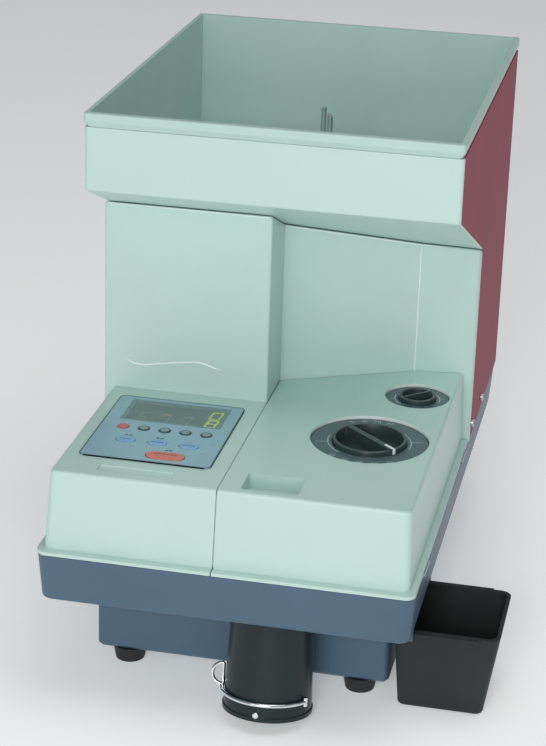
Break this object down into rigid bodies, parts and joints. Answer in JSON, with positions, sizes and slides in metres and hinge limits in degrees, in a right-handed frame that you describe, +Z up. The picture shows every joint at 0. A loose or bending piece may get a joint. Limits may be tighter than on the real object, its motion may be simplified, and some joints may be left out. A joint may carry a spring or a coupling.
{
  "type": "coin counter",
  "caption": "Desk-top coin counting machine with a square hopper on top, a keypad with display, sorting dials, a bag tube and a reject box.",
  "frame": {"origin": "middle of the whole footprint, on the surface the feet stand on", "axes": "+Z up, +Y to the back of the machine, +X to the user's right; the longest side runs along Y"},
  "size_m": [0.3222, 0.4678, 0.3974],
  "materials": {
    "body_plastic": "satin gloss moulded plastic",
    "hopper_plastic": "satin moulded plastic",
    "base_plastic": "satin moulded plastic",
    "black_plastic": "gloss moulded plastic",
    "box_plastic": "fine grain moulded plastic",
    "dial_plastic": "printed satin plastic",
    "knob_plastic": "satin moulded plastic",
    "white_mark": "paint fill",
    "red_sheet": "satin stoved paint",
    "foot_rubber": "moulded rubber",
    "bright_chrome": "bright plate",
    "zinc_steel": "zinc plated",
    "bare_aluminium": "brushed",
    "film": "printed overlay film",
    "window": "clear acrylic",
    "display": "lit segments behind a dark filter",
    "red_key": "satin",
    "grey_key": "satin",
    "blue_key": "satin",
    "start_key": "satin",
    "board": "solder mask",
    "belt_rubber": "moulded rubber"
  },
  "bodies": {
    "machine": {"rubber_feet": "foot_rubber", "foot_screws": "zinc_steel", "plinth": "base_plastic", "base_tray": "base_plastic", "left_front_cover": "body_plastic", "tower_cover": "body_plastic", "hopper_housing": "body_plastic", "hopper_liner": "hopper_plastic", "level_post_base": "hopper_plastic", "level_posts": "bright_chrome", "gearbox": "bare_aluminium", "drive_motor": "zinc_steel", "inner_frame": "zinc_steel", "sorting_ring": "black_plastic", "coin_chute": "zinc_steel", "sorting_track": "bare_aluminium", "diameter_dial_plate": "dial_plastic", "thickness_dial_plate": "dial_plastic", "feed_motor": "zinc_steel", "wheel_post": "bare_aluminium", "feed_belt": "belt_rubber", "coin_sensor": "black_plastic", "bag_tube": "black_plastic", "tube_stud": "bright_chrome", "box_rails": "base_plastic", "reject_chute": "black_plastic", "right_side_panel": "red_sheet", "left_side_panel": "red_sheet", "rear_panel": "red_sheet", "side_screws": "zinc_steel", "panel_rails": "base_plastic", "power_inlet": "box_plastic", "switch_body": "box_plastic", "fuse_holder": "box_plastic", "transformer": "zinc_steel", "circuit_board": "board", "keypad_panel": "film", "display_window": "window", "display_module": "display", "cover_hinges": "zinc_steel"},
    "front_lid": {"right_front_cover": "body_plastic"},
    "diameter_dial": {"diameter_knob": "knob_plastic", "knob_pointer": "white_mark"},
    "thickness_dial": {"thickness_knob": "knob_plastic"},
    "coin_table": {"turntable": "bare_aluminium", "table_shaft": "zinc_steel"},
    "motor_pulley": {"feed_pulley": "bare_aluminium"},
    "track_wheel": {"feed_wheel": "black_plastic"},
    "reject_bin": {"reject_box": "box_plastic"},
    "bag_clamp": {"bag_ring": "bright_chrome"},
    "power_rocker": {"switch_rocker": "black_plastic"},
    "round_key_1_body": {"round_key_1": "red_key"},
    "round_key_2_body": {"round_key_2": "grey_key"},
    "round_key_3_body": {"round_key_3": "grey_key"},
    "round_key_4_body": {"round_key_4": "grey_key"},
    "round_key_5_body": {"round_key_5": "grey_key"},
    "blue_key_1_body": {"blue_key_1": "blue_key"},
    "blue_key_2_body": {"blue_key_2": "blue_key"},
    "blue_key_3_body": {"blue_key_3": "blue_key"},
    "start_key_body": {"start_key": "start_key"}
  },
  "joints": [
    {"name": "front_lid_hinge", "type": "hinge", "parent": "machine", "child": "front_lid", "pos_m": [0.10625, -0.09158, 0.11565], "axis": [0, 1, 0], "range_deg": [0, 75]},
    {"name": "diameter_dial_turn", "type": "hinge", "parent": "machine", "child": "diameter_dial", "pos_m": [0.05125, -0.09818, 0.172], "axis": [0, 0, 1], "range_deg": [-130, 130]},
    {"name": "thickness_dial_turn", "type": "hinge", "parent": "machine", "child": "thickness_dial", "pos_m": [0.07215, -0.00788, 0.172], "axis": [0, 0, 1], "range_deg": [-130, 130]},
    {"name": "coin_table_spin", "type": "hinge", "parent": "machine", "child": "coin_table", "pos_m": [-0.02595, 0.14142, 0.258], "axis": [0, 0, 1], "continuous": true},
    {"name": "motor_pulley_spin", "type": "hinge", "parent": "machine", "child": "motor_pulley", "pos_m": [0.04005, -0.02658, 0.138], "axis": [0, 0, 1], "continuous": true},
    {"name": "track_wheel_spin", "type": "hinge", "parent": "machine", "child": "track_wheel", "pos_m": [0.04005, -0.16058, 0.138], "axis": [0, 0, 1], "continuous": true},
    {"name": "reject_bin_slide", "type": "slide", "parent": "machine", "child": "reject_bin", "axis": [1, 0, 0], "range_m": [0, 0.055]},
    {"name": "bag_clamp_slide", "type": "slide", "parent": "machine", "child": "bag_clamp", "axis": [0, 0.1564, 0.9877], "range_m": [0, 0.018]},
    {"name": "power_rocker_turn", "type": "hinge", "parent": "machine", "child": "power_rocker", "pos_m": [-0.07795, 0.22642, 0.153], "axis": [1, 0, 0], "range_deg": [0, 12]},
    {"name": "round_key_1_press", "type": "slide", "parent": "machine", "child": "round_key_1_body", "axis": [0, 0, -1], "range_m": [0, 0.0008], "stiffness_N_per_m": 400},
    {"name": "round_key_2_press", "type": "slide", "parent": "machine", "child": "round_key_2_body", "axis": [0, 0, -1], "range_m": [0, 0.0008], "stiffness_N_per_m": 400},
    {"name": "round_key_3_press", "type": "slide", "parent": "machine", "child": "round_key_3_body", "axis": [0, 0, -1], "range_m": [0, 0.0008], "stiffness_N_per_m": 400},
    {"name": "round_key_4_press", "type": "slide", "parent": "machine", "child": "round_key_4_body", "axis": [0, 0, -1], "range_m": [0, 0.0008], "stiffness_N_per_m": 400},
    {"name": "round_key_5_press", "type": "slide", "parent": "machine", "child": "round_key_5_body", "axis": [0, 0, -1], "range_m": [0, 0.0008], "stiffness_N_per_m": 400},
    {"name": "blue_key_1_press", "type": "slide", "parent": "machine", "child": "blue_key_1_body", "axis": [0, 0, -1], "range_m": [0, 0.0008], "stiffness_N_per_m": 400},
    {"name": "blue_key_2_press", "type": "slide", "parent": "machine", "child": "blue_key_2_body", "axis": [0, 0, -1], "range_m": [0, 0.0008], "stiffness_N_per_m": 400},
    {"name": "blue_key_3_press", "type": "slide", "parent": "machine", "child": "blue_key_3_body", "axis": [0, 0, -1], "range_m": [0, 0.0008], "stiffness_N_per_m": 400},
    {"name": "start_key_press", "type": "slide", "parent": "machine", "child": "start_key_body", "axis": [0, 0, -1], "range_m": [0, 0.0008], "stiffness_N_per_m": 400}
  ],
  "couplings": [
    {"joint": "track_wheel_spin", "follows": "motor_pulley_spin", "ratio": 0.65217}
  ]
}
